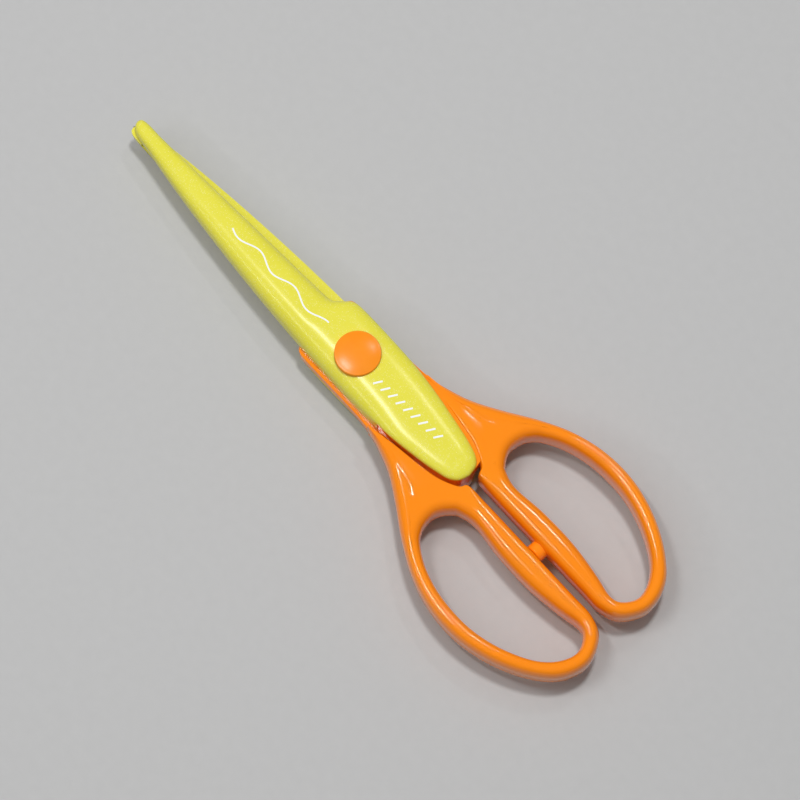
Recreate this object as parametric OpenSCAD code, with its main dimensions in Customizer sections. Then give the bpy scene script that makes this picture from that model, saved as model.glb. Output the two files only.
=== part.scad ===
// Decorative edge craft scissors: two halves on one pivot.
// +X runs from the pivot towards the tips, +Y towards the lower half's handle, +Z up.
// The origin is on the pivot axis, at the flat centre of the bottom cap.
// Both halves are drawn as the upper half, around a shear plane at z = 0.
// The lower half is the upper one turned half a turn about X.

/* [Overall] */
// Distance from the pivot to the tips
tip_reach = 79.3; // [73:0.1:87]
// Distance from the pivot to the far end of the finger loops
handle_reach = 88.1; // [80:0.1:97]
// Distance from the centre line to the widest point of a finger loop
loop_reach = 27.5; // [25:0.1:31]

/* [Covers] */
// Height of a cover above the shear plane at the pivot
cover_height = 6.2; // [5.9:0.1:7]
// Squareness of a cover's cross-section (2 is an ellipse)
cover_squareness = 2.5; // [2:0.1:3.5]

/* [Blades] */
// Thickness of the steel
blade_thickness = 1.2; // [1:0.1:1.5]
// Length of one wave of the cutting edge
wave_length = 12; // [8:0.1:16]
// Half the height of one wave
wave_height = 0.85; // [0.4:0.05:1]
// Gap between each blade and the shear plane
blade_gap = 0.05; // [0.03:0.01:0.08]

/* [Handles] */
// Thickness of a tang
tang_top = 3; // [2.6:0.1:3.2]
// Half the thickness of a finger loop
loop_half_height = 4.4; // [4:0.1:5]
// Half the height of the straight part of a loop's side
loop_side = 1.1; // [0.6:0.1:1.6]
// Gap between each handle bar and the centre line
bar_gap = 1.1; // [0.8:0.05:1.2]

/* [Pivot] */
// Diameter of the rivet
rivet_d = 5; // [4:0.1:5.6]
// Running clearance round the rivet, on the radius
rivet_clearance = 0.05; // [0.03:0.01:0.08]
// Diameter of a pivot cap
cap_d = 10.9; // [10.4:0.1:12]
// Height of a cap's dome above its rim
cap_dome = 0.6; // [0.3:0.1:0.9]

/* [Stop peg] */
// Diameter of the peg
peg_d = 4.6; // [3.5:0.1:5]
// Distance of the peg behind the pivot
peg_x = 60.9; // [50:0.1:70]

/* [Hidden] */

yellow = "#f0eb4b";
orange = "#ff8c14";
steel = "#c4c8cc";

cap_rim = 0.7;
cap_edge = 0.3;
cap_seat = 5.2;
cap_flat_r = 2.6;
half_stack = cover_height + cap_rim + cap_dome;
through = 40;

cover_bore_r = 4.7;
cap_plug_r = 4.62;
cap_plug_wall = 0.6;
cap_plug_depth = 1.2;
rivet_head_r = 4;
rivet_head_t = 1;
washer_r = 4.1;
spring_washer_t = 0.35;
rivet_washer_t = 0.5;
formed_head_r = 3.5;
formed_head_t = 0.8;

blade_start_x = 15.4;
blade_end_x = 73.5;
nose_back_x = 74.8;
edge_at_pivot = 2.6;
edge_at_tip = 0.9;
edge_steps = 8;
tail_r = 5;
tail_x = -8.6;

pin_r = 1;
blade_pin_x = -9.6;
blade_pin_y = 2.9;
cover_pin_r = 1.25;
cover_pin_xs = [-17, -28];
cover_pin_low = 1.6;
cover_pin_high = 5;
press_gap = 0.02;

peg_depth = 3;
peg_tip_gap = 0.06;
peg_edge = 0.4;

cover_steps = 1;
handle_steps = 2;
round_steps = 2;
dome_steps = 6;

// Scales that carry the driving reaches to the outlines below
tip_scale = tip_reach / 79.3;
handle_scale = handle_reach / 88.1;
loop_scale = loop_reach / 27.5;

// Cover outline, one row for each section from the tip to the rear end:
// [middle x, middle y, spine x, spine y, cutting side x, cutting side y, height,
//  wall height on the spine side, wall height on the cutting side]
cover_rows = [
    [76.0, -0.25, 79.3, -0.60, 79.3, -0.60, 3.0, 1.0, 1.0],
    [76.0, -0.25, 78.8, 0.45, 79.0, -1.55, 3.0, 1.0, 1.0],
    [75.9, -0.22, 77.6, 1.30, 78.1, -2.00, 3.0, 1.0, 1.0],
    [75.2, -0.15, 75.6, 1.85, 76.2, -2.15, 3.1, 1.0, 1.2],
    [71.5, 0.02, 71.5, 2.28, 71.5, -2.15, 3.4, 1.0, 1.4],
    [63.4, 0.45, 63.4, 3.45, 63.4, -2.48, 3.9, 1.0, 1.5],
    [53.2, 0.85, 53.2, 4.65, 53.2, -2.92, 4.5, 1.0, 1.6],
    [41.0, 1.13, 41.0, 5.80, 41.0, -3.50, 5.0, 1.0, 1.7],
    [28.8, 1.32, 28.8, 6.72, 28.8, -4.05, 5.5, 1.0, 1.8],
    [17.9, 1.37, 17.9, 7.32, 17.9, -4.52, 5.9, 1.0, 2.0],
    [14.4, 1.20, 14.4, 7.48, 14.4, -4.95, 6.0, 1.0, 2.4],
    [12.3, 0.40, 12.3, 7.56, 12.3, -6.80, 6.1, 1.0, 2.9],
    [10.2, -0.30, 10.2, 7.63, 10.2, -8.40, 6.15, 1.0, 3.3],
    [5.6, -0.50, 5.6, 7.72, 5.6, -8.75, 6.2, 1.0, 3.4],
    [-4.0, -0.45, -4.0, 7.80, -4.0, -8.70, 6.2, 1.4, 3.4],
    [-12.0, -0.35, -12.0, 7.65, -12.0, -8.35, 6.2, 2.4, 3.4],
    [-20.0, -0.15, -20.0, 7.20, -20.0, -7.45, 6.1, 4.0, 3.4],
    [-28.0, -0.05, -28.0, 6.00, -28.0, -6.15, 5.9, 4.1, 3.4],
    [-32.5, -0.05, -32.5, 5.05, -32.5, -5.25, 5.8, 4.1, 3.4],
    [-33.5, 0.00, -35.6, 4.10, -35.6, -4.25, 5.7, 4.1, 3.5],
    [-33.6, 0.00, -37.5, 2.50, -37.5, -2.65, 5.7, 4.1, 3.8],
    [-33.6, 0.00, -38.25, 0.00, -38.25, 0.00, 5.7, 4.1, 4.1]
];

// Handle outline, once round the finger loop from the front of the gap:
// [outer x, outer reach, opening x, opening reach, outer rounding, opening rounding]
// A reach is the distance from the centre line.
handle_rows = [
    [-39.8, 1.45, -42.7, 7.30, 0.7, 2.4],
    [-45.7, bar_gap, -47.1, 6.30, 1.8, 3.0],
    [-55.6, bar_gap, -55.6, 7.10, 1.9, 3.6],
    [-65.5, bar_gap, -65.5, 7.15, 1.9, 3.6],
    [-74.3, bar_gap, -74.3, 6.05, 1.9, 2.8],
    [-80.5, 1.20, -79.9, 5.00, 1.8, 2.0],
    [-85.3, 3.40, -82.7, 6.10, 1.8, 1.8],
    [-88.1, 9.30, -84.4, 9.70, 1.85, 1.85],
    [-86.3, 16.00, -82.7, 14.30, 1.9, 1.9],
    [-80.8, 21.20, -78.5, 18.30, 1.9, 1.9],
    [-72.7, 25.30, -71.2, 21.80, 1.9, 1.9],
    [-63.7, 27.45, -63.5, 23.55, 1.95, 1.95],
    [-54.6, 27.25, -54.9, 23.40, 1.95, 1.95],
    [-46.1, 24.95, -47.6, 21.60, 1.95, 1.95],
    [-38.3, 21.00, -42.3, 18.70, 2.4, 2.2],
    [-31.1, 16.40, -40.3, 16.40, 2.8, 2.5],
    [-24.5, 12.65, -39.6, 14.60, 2.4, 2.6],
    [-18.2, 10.40, -39.4, 13.20, 1.3, 2.6],
    [-13.4, 8.95, -39.4, 12.10, 0.5, 2.6],
    [-19.5, 7.70, -39.7, 10.90, 0.6, 2.6],
    [-27.0, 6.75, -40.3, 9.70, 0.6, 2.6],
    [-33.3, 5.60, -41.0, 8.75, 0.6, 2.5],
    [-38.0, 3.50, -41.7, 8.00, 0.6, 2.4]
];

// Tang outline, from the front of its spine side round by the shoulder
tang_outline = [
    [12.4, 5.6], [12.7, 0], [12.6, -5.4], [12.1, -7.4], [10.2, -8.65], [4, -8.75],
    [-6, -8.7], [-12, -8.9], [-17, -9.7], [-24, -11.1], [-31, -12.6], [-36.4, -11],
    [-37.2, -6.5], [-37.3, -2.2], [-36.2, 0.6], [-34.2, 2.3], [-30, 3.7], [-24, 5.0],
    [-17, 6.05], [-9, 6.75], [0, 7.0], [9.6, 6.85]
];

// Seat outline: the raised rear part of a tang, flush with the cover above it
seat_outline = [
    [-14.6, 7.2], [-20, 7.1], [-28, 5.9], [-32.5, 4.95], [-35.5, 4.0], [-37.4, 2.4],
    [-38.1, 0], [-37.6, -3], [-36.6, -6.4], [-28, -8], [-20, -8.6], [-14.6, -8.5]
];
seat_start_x = -14.6;
seat_top = 3.9;

// The cheek's front falls away towards the tang, from cheek_fall_x to cheek_front_x
cheek_fall_x = -26;
cheek_front_x = -13.4;
cheek_fall = 0.28;

// Hollow above the blade, inside a cover
hollow_outline = [[19.5, 4.9], [19.5, -2.2], [53, -1.1], [53, 2.6], [37, 4.2]];
hollow_top = 3.2;

// Value of a smooth curve through b and c, with its neighbours a and d
function curve(a, b, c, d, t) =
    0.5 * (2 * b + (c - a) * t + (2 * a - 5 * b + 4 * c - d) * t * t
    + (3 * b - a - 3 * c + d) * t * t * t);

function smooth_loop(rows, steps) = [
    for (i = [0:len(rows) - 1], j = [0:steps - 1]) let (n = len(rows))
        curve(rows[(i + n - 1) % n], rows[i], rows[(i + 1) % n], rows[(i + 2) % n], j / steps)
];

function smooth_path(rows, steps) = let (last = len(rows) - 1) concat([
    for (i = [0:last - 1], j = [0:steps - 1])
        curve(rows[max(i - 1, 0)], rows[i], rows[i + 1], rows[min(i + 2, last)], j / steps)
], [rows[last]]);

// Unit vector to the right of the way from a to b
function right_of(a, b) = let (d = b - a, n = norm(d)) [d[1] / n, -d[0] / n];

// Two triangles for each cell between ring i and ring i + 1, of points each
function ring_faces(i, next, points) = [
    for (j = [0:points - 1], half = [0, 1]) let (k = (j + 1) % points)
        half == 0
        ? [i * points + j, next * points + j, next * points + k]
        : [i * points + j, next * points + k, i * points + k]
];

// A face whose corners are three different points
function is_real(points, face) =
    points[face[0]] != points[face[1]]
    && points[face[1]] != points[face[2]]
    && points[face[2]] != points[face[0]];

// Points rounded to a tenth of a micron, so that those that meet are equal
function snapped(points) = [for (p = points) [for (c = p) round(c * 10000) / 10000]];

// One side of a cover section: a wall, then a rounding up to the middle
function cover_side(middle, edge, height, wall) = [
    for (j = [0:round_steps + 2]) let (
        angle = 90 * j / (round_steps + 2),
        inward = 1 - pow(cos(angle), 2 / cover_squareness),
        rise = pow(sin(angle), 2 / cover_squareness)
    ) [
        edge[0] + (middle[0] - edge[0]) * inward,
        edge[1] + (middle[1] - edge[1]) * inward,
        wall + (height - wall) * rise
    ]
];

function reversed(list) = [for (i = [len(list) - 1:-1:0]) list[i]];

function cover_section(row) = let (
    middle = [row[0] * (row[0] > 0 ? tip_scale : 1), row[1]],
    spine = [row[2] * (row[2] > 0 ? tip_scale : 1), row[3]],
    cut = [row[4] * (row[4] > 0 ? tip_scale : 1), row[5]],
    height = row[6] * cover_height / 6.2,
    up = cover_side(middle, spine, height, row[7]),
    down = reversed(cover_side(middle, cut, height, row[8]))
) concat(
    [[middle[0], middle[1], blade_gap], [spine[0], spine[1], blade_gap]],
    up,
    [for (j = [1:len(down) - 1]) down[j]],
    [[cut[0], cut[1], blade_gap]]
);

module cover_body() {
    sections = [for (row = smooth_path(cover_rows, cover_steps)) cover_section(row)];
    per_ring = len(sections[0]);
    points = snapped([for (section = sections, p = section) p]);
    faces = [
        for (i = [0:len(sections) - 2], face = ring_faces(i, i + 1, per_ring))
            if (is_real(points, face)) face
    ];
    polyhedron(points = points, faces = faces);
}

// Height of the cheek at x, as a part of the loop's height
function cheek_height(x) = let (
    t = min(max((x - cheek_fall_x) / (cheek_front_x - cheek_fall_x), 0), 1)
) 1 - cheek_fall * t * t * (3 - 2 * t);

// Ring of points across the handle at one station of its outline
function handle_section(outer, outer_in, opening, opening_in, outer_round, opening_round) = let (
    most = 0.46 * norm(outer - opening),
    outer_r = min(outer_round, most),
    opening_r = min(opening_round, most),
    rise = loop_half_height - loop_side,
    outer_arc = [
        for (j = [0:round_steps]) let (a = 90 * j / round_steps)
            [outer + outer_in * outer_r * (1 - cos(a)), loop_side + rise * sin(a)]
    ],
    opening_arc = [
        for (j = [round_steps:-1:0]) let (a = 90 * j / round_steps)
            [opening + opening_in * opening_r * (1 - cos(a)), loop_side + rise * sin(a)]
    ],
    top = concat(outer_arc, opening_arc),
    bottom = [for (p = reversed(top)) [p[0], -p[1]]]
) [for (p = reversed(concat(top, bottom))) [p[0][0], -p[0][1], p[1] * cheek_height(p[0][0])]];

module handle_body() {
    rows = [
        for (r = smooth_loop(handle_rows, handle_steps)) [
            r[0] * handle_scale, r[1] * loop_scale, r[2] * handle_scale, r[3] * loop_scale,
            r[4], r[5]
        ]
    ];
    count = len(rows);
    outer = [for (r = rows) [r[0], r[1]]];
    opening = [for (r = rows) [r[2], r[3]]];
    sections = [
        for (i = [0:count - 1]) let (before = (i + count - 1) % count, after = (i + 1) % count)
            handle_section(
                outer[i], right_of(outer[before], outer[after]),
                opening[i], -right_of(opening[before], opening[after]),
                rows[i][4], rows[i][5])
    ];
    per_ring = len(sections[0]);
    points = snapped([for (section = sections, p = section) p]);
    faces = [
        for (i = [0:count - 1], face = ring_faces(i, (i + 1) % count, per_ring))
            if (is_real(points, face)) face
    ];
    polyhedron(points = points, faces = faces);
}

// Places what is drawn as the upper half in either half
module in_upper() { translate([0, 0, half_stack]) children(); }
module in_lower() { translate([0, 0, half_stack]) rotate([180, 0, 0]) children(); }

module post(x, y, r, low, high) {
    translate([x, y, low]) cylinder(r = r, h = high - low, $fn = 48);
}

module plate(outline, low, high) {
    translate([0, 0, low]) linear_extrude(high - low) polygon(outline);
}

// Distance of a blade's edge past the centre line, before its wave
function edge_reach(x) =
    edge_at_pivot + (edge_at_tip - edge_at_pivot) * (x - blade_start_x) / (blade_end_x - blade_start_x);

// The lower half is turned over, so its wave is mirrored to match the upper one
function wave(x, side) = side * wave_height * sin(360 * (x - blade_start_x) / wave_length);

function blade_outline(side, grow) = let (
    waves = (blade_end_x - blade_start_x) / wave_length,
    count = ceil(waves * edge_steps),
    edge = [
        for (i = [0:count]) let (x = blade_start_x + (blade_end_x - blade_start_x) * i / count)
            [x * tip_scale, -edge_reach(x) + wave(x, side)]
    ],
    tail = [
        for (a = [90:15:270]) [tail_x + (tail_r + grow) * cos(a), (tail_r + grow) * sin(a)]
    ],
    spine = [
        for (p = [[73.5, 1.15], [63.4, 2.1], [53.2, 2.9], [41, 3.65], [28.8, 4.2], [15.4, 4.6], [6, 5]])
            [p[0] * tip_scale, p[1] + grow]
    ]
) concat(spine, tail, [[6 * tip_scale, -5 - grow], [13.8 * tip_scale, -4 - grow]], edge);

module blade(side) {
    color(steel) difference() {
        plate(blade_outline(side, 0), blade_gap, blade_thickness);
        post(0, 0, rivet_d / 2 + rivet_clearance, -1, through);
        for (s = [-1, 1]) post(blade_pin_x, s * blade_pin_y, pin_r + press_gap, -1, through);
    }
}

// Room for a blade, open to the cutting side as far as the nose
module blade_room(side) {
    plate(blade_outline(side, press_gap), -1, blade_thickness + press_gap);
    plate([
        [nose_back_x * tip_scale, 0.6], [nose_back_x * tip_scale, -12],
        [blade_start_x * tip_scale, -12], [blade_start_x * tip_scale, 0.6]
    ], -1, blade_thickness + press_gap);
}

module cover_pin_holes() {
    for (x = cover_pin_xs)
        post(x, 0, cover_pin_r + press_gap, cover_pin_low - press_gap, cover_pin_high + press_gap);
}

module cover(side) {
    color(yellow) difference() {
        cover_body();
        plate(smooth_loop(tang_outline, 2), -1, tang_top);
        plate([[seat_start_x, 12], [seat_start_x, -12], [-42, -12], [-42, 12]], -1, seat_top);
        blade_room(side);
        plate(hollow_outline, 0, hollow_top);
        post(0, 0, cover_bore_r, 0, through);
        post(0, 0, cap_d / 2 + press_gap, cap_seat - press_gap, through);
        cover_pin_holes();
    }
}

module handle(side) {
    color(orange) difference() {
        union() {
            handle_body();
            plate(smooth_loop(tang_outline, 2), blade_gap, tang_top - press_gap);
            plate(seat_outline, blade_gap, seat_top - press_gap);
        }
        plate(blade_outline(side, press_gap), -1, blade_thickness + press_gap);
        post(0, 0, rivet_d / 2 + rivet_clearance, -1, through);
        for (s = [-1, 1])
            post(blade_pin_x, s * blade_pin_y, pin_r + press_gap, -1, through);
        cover_pin_holes();
    }
}

module peg_hole() {
    translate([-peg_x, -bar_gap - peg_depth - press_gap, 0])
        rotate([-90, 0, 0]) cylinder(d = peg_d + 2 * press_gap, h = peg_depth + bar_gap, $fn = 48);
}

module upper_cover() { in_upper() cover(1); }
module lower_cover() { in_lower() cover(-1); }

module upper_handle() {
    in_upper() color(orange) difference() {
        handle(1);
        peg_hole();
    }
}
module lower_handle() { in_lower() handle(-1); }

module upper_blade() { in_upper() blade(1); }
module lower_blade() { in_lower() blade(-1); }

// Rivet: a flat head in the lower half, a shank, and a formed head in the upper half
module pivot_rivet() {
    formed_low = tang_top + spring_washer_t + rivet_washer_t + 2 * press_gap;
    color(steel) in_upper() rotate_extrude($fn = 64) polygon([
        [0, -tang_top - rivet_head_t],
        [rivet_head_r, -tang_top - rivet_head_t],
        [rivet_head_r, -tang_top],
        [rivet_d / 2, -tang_top],
        [rivet_d / 2, formed_low],
        [formed_head_r, formed_low],
        [formed_head_r - 0.5, formed_low + formed_head_t],
        [0, formed_low + formed_head_t]
    ]);
}

module washer(low, thickness) {
    color(steel) in_upper() difference() {
        post(0, 0, washer_r, low, low + thickness);
        post(0, 0, rivet_d / 2 + press_gap, 0, through);
    }
}

module spring_washer() { washer(tang_top + press_gap, spring_washer_t - press_gap); }
module rivet_washer() { washer(tang_top + spring_washer_t + press_gap, rivet_washer_t); }

// Cap: a rim and a shallow dome with a flat centre, on a hollow plug
module pivot_cap() {
    rim_top = cover_height + cap_rim;
    dome_r = cap_d / 2 - cap_edge;
    plug_inner_r = cap_plug_r - cap_plug_wall;
    color(orange) rotate_extrude($fn = 96) polygon(concat(
        [
            [0, cap_seat], [plug_inner_r, cap_seat], [plug_inner_r, cap_seat - cap_plug_depth],
            [cap_plug_r, cap_seat - cap_plug_depth], [cap_plug_r, cap_seat],
            [cap_d / 2, cap_seat], [cap_d / 2, rim_top - cap_edge]
        ],
        [
            for (j = [0:dome_steps]) let (part = j / dome_steps)
                [dome_r - (dome_r - cap_flat_r) * part, rim_top + cap_dome * sin(90 * part)]
        ],
        [[0, rim_top + cap_dome]]
    ));
}
module upper_pivot_cap() { in_upper() pivot_cap(); }
module lower_pivot_cap() { in_lower() pivot_cap(); }

module blade_pins() {
    color(steel) for (s = [-1, 1])
        post(blade_pin_x, s * blade_pin_y, pin_r, blade_gap, tang_top - press_gap);
}
module upper_blade_pins() { in_upper() blade_pins(); }
module lower_blade_pins() { in_lower() blade_pins(); }

module cover_pins() {
    color(orange) for (x = cover_pin_xs) post(x, 0, cover_pin_r, cover_pin_low, cover_pin_high);
}
module upper_cover_pins() { in_upper() cover_pins(); }
module lower_cover_pins() { in_lower() cover_pins(); }

module stop_peg() {
    length = peg_depth + 2 * bar_gap - peg_tip_gap;
    color(orange) in_upper()
        translate([-peg_x, -bar_gap - peg_depth, 0]) rotate([-90, 0, 0]) rotate_extrude($fn = 48)
            polygon([
                [0, 0], [peg_d / 2, 0], [peg_d / 2, length - peg_edge],
                [peg_d / 2 - peg_edge, length], [0, length]
            ]);
}

upper_cover();
lower_cover();
upper_handle();
lower_handle();
upper_blade();
lower_blade();
pivot_rivet();
spring_washer();
rivet_washer();
upper_pivot_cap();
lower_pivot_cap();
upper_blade_pins();
lower_blade_pins();
upper_cover_pins();
lower_cover_pins();
stop_peg();
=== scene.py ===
"""Decorative edge scissors: finished surfaces, materials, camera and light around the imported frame.

Shapes are worked out in millimetres around the shear plane, as the upper half, and put into either
half in metres. The lower half is the upper one turned half a turn about X.
"""

import math

import bmesh
import bpy
import numpy as np
from mathutils import Matrix, Vector


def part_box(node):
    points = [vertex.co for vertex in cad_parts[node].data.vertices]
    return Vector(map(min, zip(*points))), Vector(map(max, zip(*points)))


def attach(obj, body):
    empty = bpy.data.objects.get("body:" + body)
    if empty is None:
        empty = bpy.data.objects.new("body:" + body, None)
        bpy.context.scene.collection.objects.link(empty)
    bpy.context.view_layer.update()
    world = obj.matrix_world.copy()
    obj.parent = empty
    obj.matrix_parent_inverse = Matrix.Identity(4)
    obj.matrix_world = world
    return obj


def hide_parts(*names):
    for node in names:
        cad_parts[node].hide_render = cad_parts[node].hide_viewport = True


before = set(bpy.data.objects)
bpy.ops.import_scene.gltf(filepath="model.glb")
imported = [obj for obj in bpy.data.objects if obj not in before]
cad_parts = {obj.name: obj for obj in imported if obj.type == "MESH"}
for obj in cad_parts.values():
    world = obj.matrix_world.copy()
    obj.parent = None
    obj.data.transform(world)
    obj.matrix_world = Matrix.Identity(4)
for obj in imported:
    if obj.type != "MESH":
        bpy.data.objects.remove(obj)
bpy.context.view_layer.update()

MM = 0.001
SHEAR_Z = (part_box("upper_pivot_cap")[1][2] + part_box("lower_pivot_cap")[0][2]) / 2 / MM
CAP_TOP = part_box("upper_pivot_cap")[1][2] / MM - SHEAR_Z
CAP_R = (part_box("upper_pivot_cap")[1][0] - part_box("upper_pivot_cap")[0][0]) / 2 / MM
TIP_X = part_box("upper_cover")[1][0] / MM
HANDLE_BACK = -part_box("upper_handle")[0][0] / MM

# ---------------------------------------------------------------- sizes, in millimetres

# Cutters run from BELOW to THROUGH, past every surface that they cut
BELOW = -1
THROUGH = 20
PRESS_GAP = 0.02
RUNNING_GAP = 0.05
FACE_GAP = 0.05
SHARP_ANGLE = 32

SQUARENESS = 2.5
CAP_PROUD = 1.3
CAP_THICK = 2.3
COVER_H = CAP_TOP - CAP_PROUD
CAP_SEAT = CAP_TOP - CAP_THICK
COVER_BORE_R = 4.7
BLADE_TOP = 1.2
TANG_TOP = 3.0
NOSE_BACK = 74.8
TANG_FRONT = 12.5
SEAT_START = -14.6
SEAT_TOP = 3.9
SKIRT = 0.75
BLADE_SPINE = 0.62

LOOP_H = 4.4
LOOP_SIDE = 1.1
BAR_GAP = 1.1
DISH = 0.45
DISH_RUN = 5.5
CHEEK_FALL_X = -26
CHEEK_FRONT_X = -13.4
CHEEK_FALL = 0.28

BLADE_START = 15.4
BLADE_END = 73.5
WAVE_LENGTH = 12.0
WAVE_HEIGHT = 0.85
EDGE_AT_PIVOT = 2.6
EDGE_AT_TIP = 0.9
TAIL_X = -8.6
TAIL_R = 5.0
TAIL_ANGLES = range(90, 271, 10)
BEVEL = 0.9
BEVEL_FADE = 2
BEVEL_LOW = 0.15
BURR = 0.05
RIVET_R = 2.5
PIN_R = 1.0
PIN_X = -9.6
PIN_Y = 2.9

PEG_R = 2.3
PEG_EDGE = 0.45

PLUG_R = 4.6
PLUG_BORE_R = 4.0
PLUG_DEPTH = 1.2
CAP_RIM = 0.6
CAP_EDGE = 0.32
CAP_RIM_STEP = 0.03
DOME_POWER = 2.2
DOME_STEPS = 24

# One row for each section of a cover, from the tip to the rear end: middle x, y, spine x, y,
# cutting side x, y, height, wall height on the spine side, wall height on the cutting side
COVER_ROWS = [
    (76.0, -0.25, 79.3, -0.60, 79.3, -0.60, 3.0, 1.0, 1.0),
    (76.0, -0.25, 78.8, 0.45, 79.0, -1.55, 3.0, 1.0, 1.0),
    (75.9, -0.22, 77.6, 1.30, 78.1, -2.00, 3.0, 1.0, 1.0),
    (75.2, -0.15, 75.6, 1.85, 76.2, -2.15, 3.1, 1.0, 1.2),
    (71.5, 0.02, 71.5, 2.28, 71.5, -2.15, 3.4, 1.0, 1.4),
    (63.4, 0.45, 63.4, 3.45, 63.4, -2.48, 3.9, 1.0, 1.5),
    (53.2, 0.85, 53.2, 4.65, 53.2, -2.92, 4.5, 1.0, 1.6),
    (41.0, 1.13, 41.0, 5.80, 41.0, -3.50, 5.0, 1.0, 1.7),
    (28.8, 1.32, 28.8, 6.72, 28.8, -4.05, 5.5, 1.0, 1.8),
    (17.9, 1.37, 17.9, 7.32, 17.9, -4.52, 5.9, 1.0, 2.0),
    (14.4, 1.20, 14.4, 7.48, 14.4, -4.95, 6.0, 1.0, 2.4),
    (12.3, 0.40, 12.3, 7.56, 12.3, -6.80, 6.1, 1.0, 2.9),
    (10.2, -0.30, 10.2, 7.63, 10.2, -8.40, 6.15, 1.0, 3.3),
    (5.6, -0.50, 5.6, 7.72, 5.6, -8.75, 6.2, 1.0, 3.4),
    (-4.0, -0.45, -4.0, 7.80, -4.0, -8.70, 6.2, 1.4, 3.4),
    (-12.0, -0.35, -12.0, 7.65, -12.0, -8.35, 6.2, 2.4, 3.4),
    (-20.0, -0.15, -20.0, 7.20, -20.0, -7.45, 6.1, 4.0, 3.4),
    (-28.0, -0.05, -28.0, 6.00, -28.0, -6.15, 5.9, 4.1, 3.4),
    (-32.5, -0.05, -32.5, 5.05, -32.5, -5.25, 5.8, 4.1, 3.4),
    (-33.5, 0.00, -35.6, 4.10, -35.6, -4.25, 5.7, 4.1, 3.5),
    (-33.6, 0.00, -37.5, 2.50, -37.5, -2.65, 5.7, 4.1, 3.8),
    (-33.6, 0.00, -38.25, 0.00, -38.25, 0.00, 5.7, 4.1, 4.1),
]

# Once round a finger loop from the front of the gap: outer x, reach, opening x, reach,
# outer rounding, opening rounding. A reach is the distance from the centre line.
HANDLE_ROWS = [
    (-39.8, 1.45, -42.7, 7.30, 0.7, 2.4),
    (-45.7, BAR_GAP, -47.1, 6.30, 1.8, 3.0),
    (-55.6, BAR_GAP, -55.6, 7.10, 1.9, 3.6),
    (-65.5, BAR_GAP, -65.5, 7.15, 1.9, 3.6),
    (-74.3, BAR_GAP, -74.3, 6.05, 1.9, 2.8),
    (-80.5, 1.20, -79.9, 5.00, 1.8, 2.0),
    (-85.3, 3.40, -82.7, 6.10, 1.8, 1.8),
    (-88.1, 9.30, -84.4, 9.70, 1.85, 1.85),
    (-86.3, 16.00, -82.7, 14.30, 1.9, 1.9),
    (-80.8, 21.20, -78.5, 18.30, 1.9, 1.9),
    (-72.7, 25.30, -71.2, 21.80, 1.9, 1.9),
    (-63.7, 27.45, -63.5, 23.55, 1.95, 1.95),
    (-54.6, 27.25, -54.9, 23.40, 1.95, 1.95),
    (-46.1, 24.95, -47.6, 21.60, 1.95, 1.95),
    (-38.3, 21.00, -42.3, 18.70, 2.4, 2.2),
    (-31.1, 16.40, -40.3, 16.40, 2.8, 2.5),
    (-24.5, 12.65, -39.6, 14.60, 2.4, 2.6),
    (-18.2, 10.40, -39.4, 13.20, 1.3, 2.6),
    (-13.4, 8.95, -39.4, 12.10, 0.5, 2.6),
    (-19.5, 7.70, -39.7, 10.90, 0.6, 2.6),
    (-27.0, 6.75, -40.3, 9.70, 0.6, 2.6),
    (-33.3, 5.60, -41.0, 8.75, 0.6, 2.5),
    (-38.0, 3.50, -41.7, 8.00, 0.6, 2.4),
]

TANG_OUTLINE = [
    (12.4, 5.6), (12.7, 0), (12.6, -5.4), (12.1, -7.4), (10.2, -8.65), (4, -8.75),
    (-6, -8.7), (-12, -8.9), (-17, -9.7), (-24, -11.1), (-31, -12.6), (-36.4, -11),
    (-37.2, -6.5), (-37.3, -2.2), (-36.2, 0.6), (-34.2, 2.3), (-30, 3.7), (-24, 5.0),
    (-17, 6.05), (-9, 6.75), (0, 7.0), (9.6, 6.85),
]

SEAT_INNER_SIDE = [(-37.6, -3), (-36.6, -6.4), (-28, -8), (-20, -8.6), (-14.6, -8.5)]

BLADE_BACK = [(73.5, 1.15), (63.4, 2.1), (53.2, 2.9), (41, 3.65), (28.8, 4.2), (15.4, 4.6), (6, 5)]
BLADE_FRONT_OF_TAIL = [(6, -5), (13.8, -4)]

# ---------------------------------------------------------------- curves and meshes


def curve(a, b, c, d, t):
    """A smooth curve's value between b and c, with its neighbours a and d."""
    return 0.5 * (2 * b + (c - a) * t + (2 * a - 5 * b + 4 * c - d) * t**2
                  + (3 * b - a - 3 * c + d) * t**3)


def smooth_loop(rows, steps):
    """A closed curve through the rows, with this many steps from each row to the next."""
    rows = np.array(rows, float)
    n = len(rows)
    return [curve(rows[i - 1], rows[i], rows[(i + 1) % n], rows[(i + 2) % n], j / steps)
            for i in range(n) for j in range(steps)]


def smooth_path(rows, steps):
    """The same for an open curve, which ends on the last row."""
    rows = np.array(rows, float)
    last = len(rows) - 1
    inner = [curve(rows[max(i - 1, 0)], rows[i], rows[i + 1], rows[min(i + 2, last)], j / steps)
             for i in range(last) for j in range(steps)]
    return inner + [rows[last]]


def place(half):
    """The matrix from the drawn upper half, in millimetres, to a half's own place, in metres."""
    turn = Matrix.Rotation(math.pi, 4, "X") if half == "lower" else Matrix.Identity(4)
    return Matrix.Scale(MM, 4) @ Matrix.Translation((0, 0, SHEAR_Z)) @ turn


def mark_edges(bm, sharp_angle):
    for face in bm.faces:
        face.smooth = True
    for edge in bm.edges:
        if len(edge.link_faces) == 2:
            edge.smooth = edge.calc_face_angle(0) < math.radians(sharp_angle)


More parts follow.
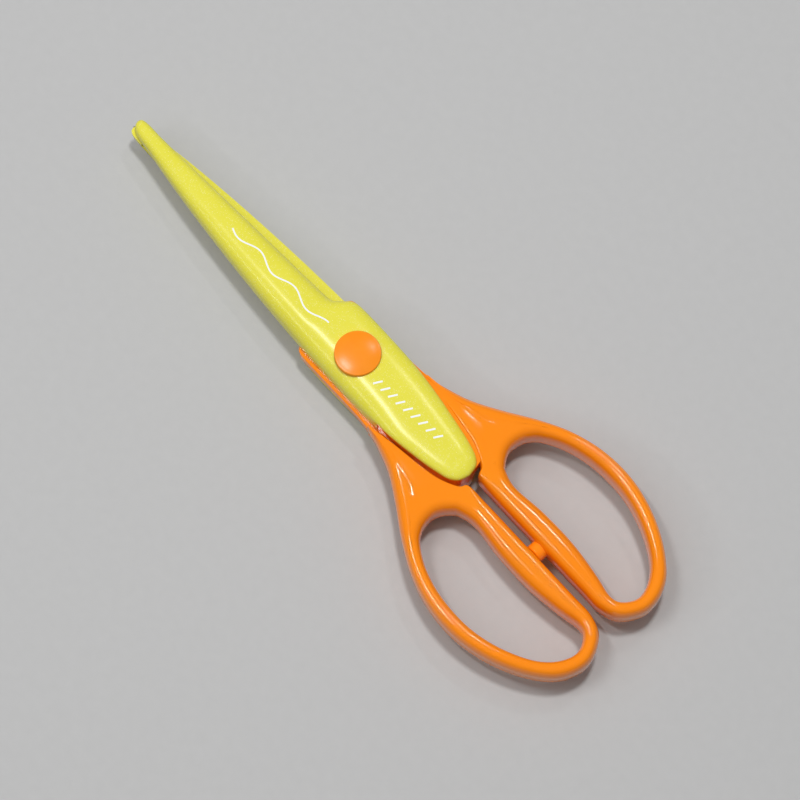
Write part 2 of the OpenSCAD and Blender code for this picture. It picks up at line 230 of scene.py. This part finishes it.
def mesh_object(name, verts, faces, half=None, sharp_angle=SHARP_ANGLE):
    """A closed mesh with its doubled points joined, in the half that it belongs to."""
    bm = bmesh.new()
    made = [bm.verts.new(v) for v in verts]
    for face in faces:
        ring = []
        for i in face:
            if made[i] not in ring:
                ring.append(made[i])
        if len(ring) > 2:
            bm.faces.new(ring)
    bmesh.ops.remove_doubles(bm, verts=bm.verts, dist=1e-4)
    bmesh.ops.dissolve_degenerate(bm, edges=bm.edges, dist=1e-4)
    bmesh.ops.delete(bm, geom=[e for e in bm.edges if not e.link_faces], context="EDGES")
    bmesh.ops.delete(bm, geom=[v for v in bm.verts if not v.link_faces], context="VERTS")
    bmesh.ops.recalc_face_normals(bm, faces=bm.faces)
    if half:
        bm.transform(place(half))
    mark_edges(bm, sharp_angle)
    mesh = bpy.data.meshes.new(name)
    bm.to_mesh(mesh)
    bm.free()
    obj = bpy.data.objects.new(name, mesh)
    bpy.context.scene.collection.objects.link(obj)
    return obj


def ring_faces(rings, points, closed):
    """Quads between rings of the same number of points, closed round each ring."""
    pairs = [(i, i + 1) for i in range(rings - 1)] + ([(rings - 1, 0)] if closed else [])
    faces = []
    for i, n in pairs:
        for j in range(points):
            k = (j + 1) % points
            faces.append((i * points + j, n * points + j, n * points + k, i * points + k))
    return faces


def plate(name, outline, low, high, half, edge=0.0):
    """An extruded outline, its top and bottom edges chamfered by edge."""
    pts = [np.array(p, float) for p in outline]
    n = len(pts)
    area = sum(pts[i - 1][0] * pts[i][1] - pts[i][0] * pts[i - 1][1] for i in range(n))
    turn = 1 if area > 0 else -1

    def inset(i, by):
        d = pts[(i + 1) % n] - pts[i - 1]
        return pts[i] + np.array((-d[1], d[0])) * turn * by / np.hypot(*d)

    levels = [(0, low), (0, high)]
    if edge:
        levels = [(edge, low), (0, low + edge), (0, high - edge), (edge, high)]
    verts = [(*inset(i, by), z) for by, z in levels for i in range(n)]
    faces = ring_faces(len(levels), n, False)
    faces += [tuple(range(n)), tuple(range((len(levels) - 1) * n, len(levels) * n))]
    return mesh_object(name, verts, faces, half)


def lathe(name, profile, matrix, segments=64):
    """A profile of (radius, height) points turned about Z, placed by a matrix from millimetres."""
    n = len(profile)
    verts, faces = [], []
    for s in range(segments):
        angle = 2 * math.pi * s / segments
        verts += [(r * math.cos(angle), r * math.sin(angle), z) for r, z in profile]
        a, b = s * n, (s + 1) % segments * n
        faces += [(a + j, b + j, b + j + 1, a + j + 1) for j in range(n - 1)]
    obj = mesh_object(name, verts, faces)
    obj.data.transform(matrix)
    return obj


def drill(name, radius, half, x=0, y=0, low=BELOW, segments=64):
    """A round cutter that runs up past every surface."""
    profile = [(0, low), (radius, low), (radius, THROUGH), (0, THROUGH)]
    return lathe(name, profile, place(half) @ Matrix.Translation((x, y, 0)), segments)


def apply_modifiers(obj):
    graph = bpy.context.evaluated_depsgraph_get()
    obj.data = bpy.data.meshes.new_from_object(obj.evaluated_get(graph))
    obj.modifiers.clear()


def combine(obj, tools, operation):
    """Adds or cuts away closed tools, which are then removed."""
    for tool in tools:
        modifier = obj.modifiers.new("boolean", "BOOLEAN")
        modifier.operation = operation
        modifier.solver = "MANIFOLD"
        modifier.object = tool
        bpy.context.view_layer.update()
        apply_modifiers(obj)
        bpy.data.objects.remove(tool)


def resharpen(obj):
    """Joins doubled points after a cut and marks the sharp edges again."""
    bm = bmesh.new()
    bm.from_mesh(obj.data)
    bmesh.ops.remove_doubles(bm, verts=bm.verts, dist=1e-7)
    mark_edges(bm, SHARP_ANGLE)
    bm.to_mesh(obj.data)
    bm.free()


# ---------------------------------------------------------------- covers

COVER_STEPS = 8
ROUND_STEPS = 14
STRAIGHT_FROM = -32
STRAIGHT_TO = 70


def cover_side(middle, edge, height, wall, low):
    """One side of a section, from its lowest point at the edge up to the middle."""
    hidden = max((low - wall) / (height - wall), 0)
    first = math.asin(hidden ** (SQUARENESS / 2))
    side = []
    for j in range(ROUND_STEPS + 1):
        angle = first + (math.pi / 2 - first) * j / ROUND_STEPS
        inward = 1 - max(math.cos(angle), 0) ** (2 / SQUARENESS)
        rise = math.sin(angle) ** (2 / SQUARENESS)
        at = edge + (middle - edge) * inward
        side.append((at[0], at[1], wall + (height - wall) * rise))
    return side


def cover_zone(x):
    """Where the two sides of a cover's section end: (spine side, cutting side)."""
    if x > NOSE_BACK:
        return FACE_GAP, FACE_GAP
    if x > TANG_FRONT:
        return FACE_GAP, BLADE_TOP + FACE_GAP
    if x > SEAT_START:
        return FACE_GAP, TANG_TOP
    return SEAT_TOP, SEAT_TOP


def cover_section(row, zone):
    """A ring of points across a cover, from the step in its underside round over the top."""
    middle, spine, cut = (np.array(row[i:i + 2]) for i in (0, 2, 4))
    height, spine_wall, cut_wall = row[6:9]
    spine_low, cut_low = zone
    up = cover_side(middle, spine, height, spine_wall, spine_low)
    down = cover_side(middle, cut, height, cut_wall, cut_low)[::-1]
    reach = np.hypot(*(middle - spine))
    skirt = SKIRT if row[4] < TANG_FRONT else (1 - BLADE_SPINE) * spine[1]
    step = spine + (middle - spine) * min(skirt / max(reach, 1e-6), 1)
    return [(*step, cut_low), (*step, spine_low), (*up[0][:2], spine_low), *up,
            *down[1:], (*down[-1][:2], cut_low)]


def cover_rows():
    """The smoothed rows, with the frame's height and its length in front of the pivot."""
    longer = TIP_X / COVER_ROWS[0][2]
    taller = COVER_H / max(row[6] for row in COVER_ROWS)
    rows = smooth_path(COVER_ROWS, COVER_STEPS)
    for row in rows:
        for i in (0, 2, 4):
            if row[i] > 0:
                row[i] *= longer
        row[6] *= taller
    return rows


def make_cover(half):
    sections = []
    before = None
    for row in cover_rows():
        zone = cover_zone(row[4])
        if before and zone != before:
            sections.append(cover_section(row, before))
        sections.append(cover_section(row, zone))
        before = zone
    verts = [p for section in sections for p in section]
    faces = ring_faces(len(sections), len(sections[0]), False)
    obj = mesh_object(f"{half}_cover_shell", verts, faces, half)
    seat = drill("seat", CAP_R + PRESS_GAP, half, low=CAP_SEAT, segments=128)
    bore = drill("bore", COVER_BORE_R, half, segments=128)
    combine(obj, [seat, bore], "DIFFERENCE")
    resharpen(obj)
    return obj


def cover_height(x, y):
    """Height of a cover's top at a place where its sections run straight across."""
    rows = np.array(cover_rows())
    inside = rows[(rows[:, 0] < STRAIGHT_TO) & (rows[:, 0] > STRAIGHT_FROM)][::-1]
    middle, spine, cut, height, spine_wall, cut_wall = (
        np.interp(x, inside[:, 0], inside[:, i]) for i in (1, 3, 5, 6, 7, 8))
    edge, wall = (spine, spine_wall) if y > middle else (cut, cut_wall)
    across = min(abs((y - middle) / (edge - middle)), 1)
    return wall + (height - wall) * (1 - across**SQUARENESS) ** (1 / SQUARENESS)


# ---------------------------------------------------------------- handles

HANDLE_STEPS = 8
ARC_STEPS = 9
WEB_STEPS = 10
ARC_SQUARENESS = 2.25
LARGEST_ROUNDING = 0.46
TANG_STEPS = 6
ROOM_STEPS = 12
TANG_EDGE = 0.12
SEAT_INSET = 0.04


def smooth_step(x):
    x = min(max(x, 0), 1)
    return x * x * (3 - 2 * x)


def cheek_height(x):
    """The cheek's front falls away towards the tang."""
    return 1 - CHEEK_FALL * smooth_step((x - CHEEK_FALL_X) / (CHEEK_FRONT_X - CHEEK_FALL_X))


def far_from(path, point):
    """Distance to the nearest of a path's points."""
    return np.min(np.hypot(*(path - point).T))


def handle_section(outer, outer_in, opening, opening_in, outer_r, opening_r, outlines):
    """Ring of points across the handle. Its dish follows the distance from both edges."""
    most = LARGEST_ROUNDING * np.hypot(*(outer - opening))
    outer_r, opening_r = min(outer_r, most), min(opening_r, most)
    rise = LOOP_H - LOOP_SIDE

    def arc(edge, inward, r):
        side = []
        for j in range(ARC_STEPS + 1):
            angle = math.pi / 2 * j / ARC_STEPS
            run = 1 - max(math.cos(angle), 0) ** (2 / ARC_SQUARENESS)
            z = LOOP_SIDE + rise * math.sin(angle) ** (2 / ARC_SQUARENESS)
            side.append((*(edge + inward * r * run), z))
        return side

    first = arc(outer, outer_in, outer_r)
    second = arc(opening, opening_in, opening_r)[::-1]
    a, b = np.array(first[-1][:2]), np.array(second[0][:2])
    web = []
    for j in range(1, WEB_STEPS):
        p = a + (b - a) * j / WEB_STEPS
        dish = DISH
        for path, r in zip(outlines, (outer_r, opening_r)):
            dish *= smooth_step((far_from(path, p) - r) / DISH_RUN)
        web.append((*p, LOOP_H - dish))
    top = first + web + second
    ring = top + [(x, w, -z) for x, w, z in reversed(top)]
    return [(x, -w, z * cheek_height(x)) for x, w, z in ring]


def seat_spine_side():
    """The cover's own edge at the seat's height, a hair inside it."""
    rows = [row for row in cover_rows() if row[2] < SEAT_START]
    points = [cover_section(row, (SEAT_TOP, SEAT_TOP))[2] for row in rows]
    return [(x, y - SEAT_INSET) for x, y, _ in points]


def rivet_and_pin_holes(half):
    holes = [drill("hole", RIVET_R + RUNNING_GAP, half)]
    for side in (-1, 1):
        holes.append(drill("hole", PIN_R + PRESS_GAP, half, PIN_X, side * PIN_Y, segments=32))
    return holes


def make_handle(half):
    longer = HANDLE_BACK / -min(row[0] for row in HANDLE_ROWS)
    rows = smooth_loop(HANDLE_ROWS, HANDLE_STEPS)
    outer = [np.array((r[0] * longer, r[1])) for r in rows]
    opening = [np.array((r[2] * longer, r[3])) for r in rows]
    n = len(rows)

    def right_of(path, i):
        d = path[(i + 1) % n] - path[i - 1]
        return np.array((d[1], -d[0])) / np.hypot(*d)

    outlines = [np.array(outer), np.array(opening)]
    sections = [handle_section(outer[i], right_of(outer, i), opening[i], -right_of(opening, i),
                               rows[i][4], rows[i][5], outlines)
                for i in range(n)]
    verts = [p for section in sections for p in section]
    faces = ring_faces(n, len(sections[0]), True)
    obj = mesh_object(f"{half}_handle_moulding", verts, faces, half)
    tang_outline = smooth_loop(TANG_OUTLINE, TANG_STEPS)
    tang = plate("tang", tang_outline, FACE_GAP, TANG_TOP, half, TANG_EDGE)
    seat_outline = seat_spine_side() + SEAT_INNER_SIDE
    seat = plate("seat", seat_outline, FACE_GAP, SEAT_TOP - PRESS_GAP, half)
    combine(obj, [tang, seat], "UNION")
    room_outline = blade_outline(half, RUNNING_GAP, ROOM_STEPS)
    room = plate("room", room_outline, BELOW, BLADE_TOP + PRESS_GAP, half)
    combine(obj, [room] + rivet_and_pin_holes(half), "DIFFERENCE")
    resharpen(obj)
    return obj


# ---------------------------------------------------------------- blades

BLADE_STEPS = 24


def blade_edge(x, half):
    """The wavy edge's y. The lower half is turned over, so its wave is mirrored to match."""
    t = (x - BLADE_START) / (BLADE_END - BLADE_START)
    side = 1 if half == "upper" else -1
    wave = side * WAVE_HEIGHT * math.sin(2 * math.pi * (x - BLADE_START) / WAVE_LENGTH)
    return -(EDGE_AT_PIVOT + (EDGE_AT_TIP - EDGE_AT_PIVOT) * t) + wave


def blade_edge_points(half, steps):
    count = math.ceil((BLADE_END - BLADE_START) / WAVE_LENGTH * steps)
    xs = [BLADE_START + (BLADE_END - BLADE_START) * i / count for i in range(count + 1)]
    return [(x, blade_edge(x, half)) for x in xs]


def blade_outline(half, grow, steps):
    """The blade's outline, grown by a gap where it gives the room in a tang."""
    back = [(x, y + grow) for x, y in BLADE_BACK]
    r = TAIL_R + grow
    tail = [(TAIL_X + r * math.cos(a), r * math.sin(a)) for a in map(math.radians, TAIL_ANGLES)]
    front = [(x, y - grow) for x, y in BLADE_FRONT_OF_TAIL]
    return back + tail + front + blade_edge_points(half, steps)


def make_blade(half):
    """A steel strip whose wavy edge is ground from the outer face."""
    outline = [np.array(p, float) for p in blade_outline(half, 0, BLADE_STEPS)]
    n = len(outline)
    first_edge = len(BLADE_BACK) + len(TAIL_ANGLES) + len(BLADE_FRONT_OF_TAIL)
    top = []
    for i, p in enumerate(outline):
        d = outline[(i + 1) % n] - outline[i - 1]
        inward = np.array((-d[1], d[0])) / np.hypot(*d)
        bevel = 0
        if i >= first_edge:
            bevel = BEVEL * smooth_step((p[0] - BLADE_START) / BEVEL_FADE)
            bevel *= smooth_step((BLADE_END - p[0]) / BEVEL_FADE)
        top.append(p + np.array((0, 1)) * bevel + inward * BURR)
    verts = [(*p, FACE_GAP) for p in outline]
    verts += [(*p, FACE_GAP + BEVEL_LOW) for p in outline]
    verts += [(*p, BLADE_TOP) for p in top]
    faces = ring_faces(3, n, False) + [tuple(range(n)), tuple(range(2 * n, 3 * n))]
    obj = mesh_object(f"{half}_blade_ground", verts, faces, half)
    combine(obj, rivet_and_pin_holes(half), "DIFFERENCE")
    resharpen(obj)
    return obj


# ---------------------------------------------------------------- caps, peg and print


def rounding(radius, high, edge, angles):
    """Profile points round an outer edge, from the side towards the top."""
    return [(radius - edge + edge * math.cos(a), high - edge + edge * math.sin(a))
            for a in map(math.radians, angles)]


def make_cap(half):
    """A shallow dome on a rounded rim, with a hollow plug below."""
    plug_end = CAP_SEAT - PLUG_DEPTH
    profile = [(0, CAP_SEAT), (PLUG_BORE_R, CAP_SEAT), (PLUG_BORE_R, plug_end),
               (PLUG_R, plug_end), (PLUG_R, CAP_SEAT), (CAP_R, CAP_SEAT)]
    profile += rounding(CAP_R, CAP_TOP - CAP_RIM, CAP_EDGE, range(0, 71, 10))
    dome_r = profile[-1][0] - CAP_RIM_STEP
    dome_z = profile[-1][1]
    for j in range(DOME_STEPS + 1):
        out = 1 - j / DOME_STEPS
        profile.append((dome_r * out, dome_z + (CAP_TOP - dome_z) * (1 - out**DOME_POWER)))
    return lathe(f"{half}_cap_dome", profile, place(half), segments=160)


def make_peg():
    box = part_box("stop_peg")
    length = (box[1][1] - box[0][1]) / MM
    profile = [(0, 0), (PEG_R, 0), *rounding(PEG_R, length, PEG_EDGE, range(0, 91, 10)), (0, length)]
    middle = (box[0][0] + box[1][0]) / 2
    stand = Matrix.Translation((middle, box[0][1], SHEAR_Z * MM))
    lying = Matrix.Rotation(-math.pi / 2, 4, "X")
    return lathe("stop_peg_turned", profile, stand @ lying @ Matrix.Scale(MM, 4))


INK_WIDTH = 0.38
STROKE_WIDTH = 0.45
INK_HIGH = 0.02
INK_LOW = -0.05


def ink_line(path, width):
    """Rings of points for one printed line that lies on the upper cover."""
    path = [np.array(p, float) for p in path]
    rings = []
    for i, p in enumerate(path):
        d = path[min(i + 1, len(path) - 1)] - path[max(i - 1, 0)]
        side = np.array((-d[1], d[0])) / np.hypot(*d) * width / 2
        ends = [p - side, p, p + side]
        rings.append([(*q, cover_height(*q) + INK_HIGH) for q in ends]
                     + [(*q, cover_height(*q) + INK_LOW) for q in reversed(ends)])
    return rings


def make_print(name, lines, width):
    """Printed lines as one thin skin on the upper cover."""
    verts, faces = [], []
    for line in lines:
        rings = ink_line(line, width)
        start = len(verts)
        points = len(rings[0])
        verts += [p for ring in rings for p in ring]
        faces += [tuple(i + start for i in face)
                  for face in ring_faces(len(rings), points, False)]
        end = len(verts)
        faces += [tuple(range(start, start + points)), tuple(range(end - points, end))]
    return mesh_object(name, verts, faces, "upper", sharp_angle=60)


PRINT_FRONT = 42.8
PRINT_BACK = 10.1
PRINT_Y = 0.77
PRINT_CREST = 22.1
PRINT_POINTS = 160


def printed_wave():
    """The same wave as the blade's edge, printed along the cover."""
    line = []
    for x in np.linspace(PRINT_FRONT, PRINT_BACK, PRINT_POINTS):
        turn = 2 * math.pi * (x - PRINT_CREST) / WAVE_LENGTH
        line.append((x, PRINT_Y - WAVE_HEIGHT * math.cos(turn)))
    return make_print("upper_printed_wave", [line], INK_WIDTH)


STROKES = 9
STROKE_PITCH = 2.35
STROKE_HEIGHT = 2.0
STROKE_SLANT = 0.55
STROKE_POINTS = 8
STROKES_START = -8.2
STROKES_Y = 1.15
STROKES_SLOPE = 0.087


def printed_strokes():
    """A plain row of slanted strokes behind the pivot."""
    lines = []
    for i in range(STROKES):
        back = i * STROKE_PITCH
        x0, y0 = STROKES_START - back, STROKES_Y - back * STROKES_SLOPE
        lines.append([(x0 + STROKE_SLANT * t, y0 + STROKE_HEIGHT / 2 * t)
                      for t in np.linspace(-1, 1, STROKE_POINTS)])
    return make_print("upper_printed_strokes", lines, STROKE_WIDTH)


# ---------------------------------------------------------------- materials


class Nodes:
    """A material's node tree, with short ways to add and link nodes."""

    def __init__(self, name):
        self.material = bpy.data.materials.new(name)
        self.material.use_nodes = True
        self.tree = self.material.node_tree
        self.shader = self.tree.nodes["Principled BSDF"]
        coordinates = self.add("ShaderNodeTexCoord")
        self.mapping = self.add("ShaderNodeMapping")
        self.mapping.inputs["Scale"].default_value = (1 / MM, 1 / MM, 1 / MM)
        self.link(coordinates.outputs["Object"], self.mapping.inputs["Vector"])

    def add(self, kind, **values):
        node = self.tree.nodes.new(kind)
        for key, value in values.items():
            if hasattr(node, key):
                setattr(node, key, value)
            else:
                node.inputs[key].default_value = value
        return node

    def link(self, a, b):
        self.tree.links.new(a, b)

    def set(self, **values):
        for key, value in values.items():
            self.shader.inputs[key.replace("_", " ")].default_value = value

    def noise(self, per_mm, detail=2.0, stretch=None):
        source = self.mapping.outputs["Vector"]
        if stretch:
            squeeze = self.add("ShaderNodeMapping")
            squeeze.inputs["Scale"].default_value = stretch
            self.link(source, squeeze.inputs["Vector"])
            source = squeeze.outputs["Vector"]
        node = self.add("ShaderNodeTexNoise", Scale=per_mm, Detail=detail)
        self.link(source, node.inputs["Vector"])
        return node.outputs["Fac"]

    def ramp(self, source, stops):
        node = self.add("ShaderNodeValToRGB")
        elements = node.color_ramp.elements
        while len(elements) < len(stops):
            elements.new(0.5)
        for element, (at, value) in zip(elements, stops):
            element.position = at
            element.color = value if len(value) == 4 else (*value, 1)
        self.link(source, node.inputs["Fac"])
        return node.outputs["Color"]

    def mix(self, factor, a, b):
        node = self.add("ShaderNodeMix", data_type="RGBA")
        self.link(factor, node.inputs["Factor"])
        for socket, value in (("A", a), ("B", b)):
            at = next(s for s in node.inputs if s.name == socket and s.type == "RGBA")
            if isinstance(value, tuple):
                at.default_value = (*value, 1)
            else:
                self.link(value, at)
        return next(s for s in node.outputs if s.type == "RGBA")

    def between(self, source, low, high):
        node = self.add("ShaderNodeMapRange")
        node.inputs["To Min"].default_value = low
        node.inputs["To Max"].default_value = high
        self.link(source, node.inputs["Value"])
        return node.outputs["Result"]

    def bump(self, source, strength, height_mm, below=None):
        node = self.add("ShaderNodeBump", Strength=strength, Distance=height_mm * MM)
        self.link(source, node.inputs["Height"])
        if below:
            self.link(below, node.inputs["Normal"])
        return node.outputs["Normal"]

    def finish(self, color=None, roughness=None, normal=None):
        for socket, source in (("Base Color", color), ("Roughness", roughness), ("Normal", normal)):
            if source:
                self.link(source, self.shader.inputs[socket])
        return self.material


def grey(value):
    return (value, value, value)


def yellow_plastic():
    """Satin yellow with pale mica flecks in it."""
    n = Nodes("yellow_plastic")
    n.set(Metallic=0.0, IOR=1.46)
    body = n.mix(n.noise(0.08), (0.74, 0.69, 0.050), (0.80, 0.745, 0.075))
    cells = n.add("ShaderNodeTexVoronoi", Scale=2.9)
    n.link(n.mapping.outputs["Vector"], cells.inputs["Vector"])
    near = n.ramp(cells.outputs["Distance"], [(0.0, grey(1.0)), (0.42, grey(0.0))])
    some = n.ramp(cells.outputs["Color"], [(0.35, grey(0.0)), (0.75, grey(0.9))])
    fleck = n.mix(near, (0.0, 0.0, 0.0), some)
    color = n.mix(fleck, body, (0.93, 0.91, 0.48))
    fine = n.noise(5.0, 3.0)
    roughness = n.between(n.noise(1.2), 0.18, 0.26)
    return n.finish(color, roughness, n.bump(fine, 0.22, 0.03))


def orange_gloss():
    """Bright orange with a polished mould finish."""
    n = Nodes("orange_gloss")
    n.set(Metallic=0.0, IOR=1.5)
    n.shader.inputs["Coat Weight"].default_value = 0.35
    n.shader.inputs["Coat Roughness"].default_value = 0.04
    color = n.mix(n.noise(0.06), (0.97, 0.245, 0.003), (1.0, 0.280, 0.005))
    roughness = n.between(n.noise(0.9, 4.0), 0.07, 0.12)
    wavy = n.bump(n.noise(0.22, 1.0), 0.10, 0.25)
    return n.finish(color, roughness, n.bump(n.noise(14.0, 2.0), 0.05, 0.01, wavy))


def orange_satin():
    n = Nodes("orange_satin")
    n.set(Metallic=0.0, IOR=1.48)
    color = n.mix(n.noise(0.3, 3.0), (0.93, 0.255, 0.006), (0.98, 0.300, 0.010))
    roughness = n.between(n.noise(1.5, 3.0), 0.20, 0.30)
    return n.finish(color, roughness, n.bump(n.noise(6.0, 3.0), 0.16, 0.02))


def ground_steel():
    """Stainless strip, ground across its width."""
    n = Nodes("ground_steel")
    n.set(Metallic=1.0, Anisotropic=0.5)
    lines = n.noise(3.0, 6.0, (6.0, 0.12, 1.0))
    color = n.mix(lines, (0.50, 0.51, 0.53), (0.68, 0.69, 0.71))
    roughness = n.between(lines, 0.20, 0.38)
    return n.finish(color, roughness, n.bump(lines, 0.25, 0.01))


def plain_steel():
    n = Nodes("plain_steel")
    n.set(Metallic=1.0)
    blotch = n.noise(1.2, 4.0)
    color = n.mix(blotch, (0.42, 0.42, 0.44), (0.58, 0.58, 0.60))
    return n.finish(color, n.between(blotch, 0.28, 0.42), n.bump(n.noise(8.0, 3.0), 0.12, 0.01))


def white_ink():
    n = Nodes("white_ink")
    n.set(IOR=1.45)
    color = n.mix(n.noise(4.0, 3.0), (0.82, 0.84, 0.84), (0.93, 0.94, 0.93))
    return n.finish(color, n.between(n.noise(3.0), 0.40, 0.55), n.bump(n.noise(9.0), 0.15, 0.01))


def floor_paper():
    n = Nodes("floor_paper")
    color = n.mix(n.noise(0.4, 5.0), (0.470, 0.470, 0.470), (0.500, 0.500, 0.500))
    return n.finish(color, n.between(n.noise(0.5), 0.85, 0.95), n.bump(n.noise(1.5, 4.0), 0.1, 0.05))


def dress(obj, material):
    obj.data.materials.clear()
    obj.data.materials.append(material)


# ---------------------------------------------------------------- the object

YELLOW = yellow_plastic()
ORANGE = orange_gloss()
CAP_ORANGE = orange_satin()
BLADE_STEEL = ground_steel()
HARDWARE_STEEL = plain_steel()
INK = white_ink()


def add_piece(obj, body, node, material):
    dress(obj, material)
    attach(obj, body)
    if node:
        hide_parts(node)


for half in ("upper", "lower"):
    body = f"{half}_half"
    add_piece(make_cover(half), body, f"{half}_cover", YELLOW)
    add_piece(make_handle(half), body, f"{half}_handle", ORANGE)
    add_piece(make_blade(half), body, f"{half}_blade", BLADE_STEEL)
    add_piece(make_cap(half), body, f"{half}_pivot_cap", CAP_ORANGE)
add_piece(make_peg(), "upper_half", "stop_peg", ORANGE)
add_piece(printed_wave(), "upper_half", None, INK)
add_piece(printed_strokes(), "upper_half", None, INK)

for name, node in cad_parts.items():
    if name.endswith("cover_pins"):
        dress(node, CAP_ORANGE)
    elif name in ("pivot_rivet", "spring_washer", "rivet_washer") or name.endswith("blade_pins"):
        dress(node, HARDWARE_STEEL)

# ---------------------------------------------------------------- floor, light and camera

FLOOR_REACH = 3.0
FLOOR_Z = -0.1 * MM


def make_floor():
    corners = ((-1, -1), (1, -1), (1, 1), (-1, 1))
    verts = [(x * FLOOR_REACH, y * FLOOR_REACH, FLOOR_Z) for x, y in corners]
    floor = mesh_object("floor", verts, [(0, 1, 2, 3)])
    dress(floor, floor_paper())


# The camera looks down, tilted from straight above, with the scissors lying across the frame
TILT = math.radians(17.4)
TURN = math.radians(48.1)
LENS = 139
SENSOR = 36
DISTANCE = 707.4 * MM
BACK = Vector((-math.sin(TILT) * math.sin(TURN), math.sin(TILT) * math.cos(TURN), math.cos(TILT)))
RIGHT = Vector((-math.cos(TURN), -math.sin(TURN), 0))
UP = BACK.cross(RIGHT)
# Where the pivot cap's top stands from the middle of the view
CAP_RIGHT = -9.69 * MM
CAP_UP = 10.99 * MM


def make_camera():
    data = bpy.data.cameras.new("camera")
    data.lens = LENS
    data.sensor_width = SENSOR
    data.clip_start = 0.01
    camera = bpy.data.objects.new("camera", data)
    cap_top = Vector((0, 0, (SHEAR_Z + CAP_TOP) * MM))
    target = cap_top - RIGHT * CAP_RIGHT - UP * CAP_UP
    turn = Matrix((RIGHT, UP, BACK)).transposed().to_4x4()
    camera.matrix_world = Matrix.Translation(target + BACK * DISTANCE) @ turn
    bpy.context.scene.collection.objects.link(camera)
    bpy.context.scene.camera = camera


def make_light(name, across, along, high, size, power, length=None, seen=True):
    """An area light at a place given along the picture's right and up, in metres, facing the pivot.

    Its length lies along the scissors. A light that isn't seen gives no mirror image in the gloss.
    """
    data = bpy.data.lights.new(name, "AREA")
    data.energy = power
    data.size = size
    if length:
        data.shape = "RECTANGLE"
        data.size_y = length
    light = bpy.data.objects.new(name, data)
    light.visible_glossy = seen
    flat_up = Vector((0, 0, 1)).cross(RIGHT)
    at = RIGHT * across + flat_up * along + Vector((0, 0, high))
    towards = at.normalized()
    across_it = Vector((1, 0, 0)).cross(towards).normalized()
    axes = Matrix((across_it, towards.cross(across_it), towards)).transposed()
    light.matrix_world = Matrix.Translation(at) @ axes.to_4x4()
    bpy.context.scene.collection.objects.link(light)


def make_world():
    world = bpy.data.worlds.new("studio")
    world.use_nodes = True
    background = world.node_tree.nodes["Background"]
    background.inputs["Color"].default_value = (1.0, 1.0, 1.0, 1)
    background.inputs["Strength"].default_value = 0.15
    bpy.context.scene.world = world
    bpy.context.scene.view_settings.view_transform = "Standard"


make_floor()
make_camera()
# A high key for short shadows, a broad fill, and thin strips for the bright lines along the gloss
make_light("key", across=0.10, along=0.13, high=0.98, size=0.10, power=4.1, seen=False)
make_light("fill", across=-0.30, along=0.00, high=1.00, size=1.30, power=4.2, seen=False)
make_light("left_box", across=-0.62, along=-0.20, high=0.58, size=0.04, power=0.4, length=0.30)
make_light("right_strip", across=0.26, along=0.40, high=0.80, size=0.01, power=0.45, length=0.12)
make_light("left_strip", across=-0.23, along=0.04, high=0.80, size=0.01, power=1.30, length=0.22)
make_world()
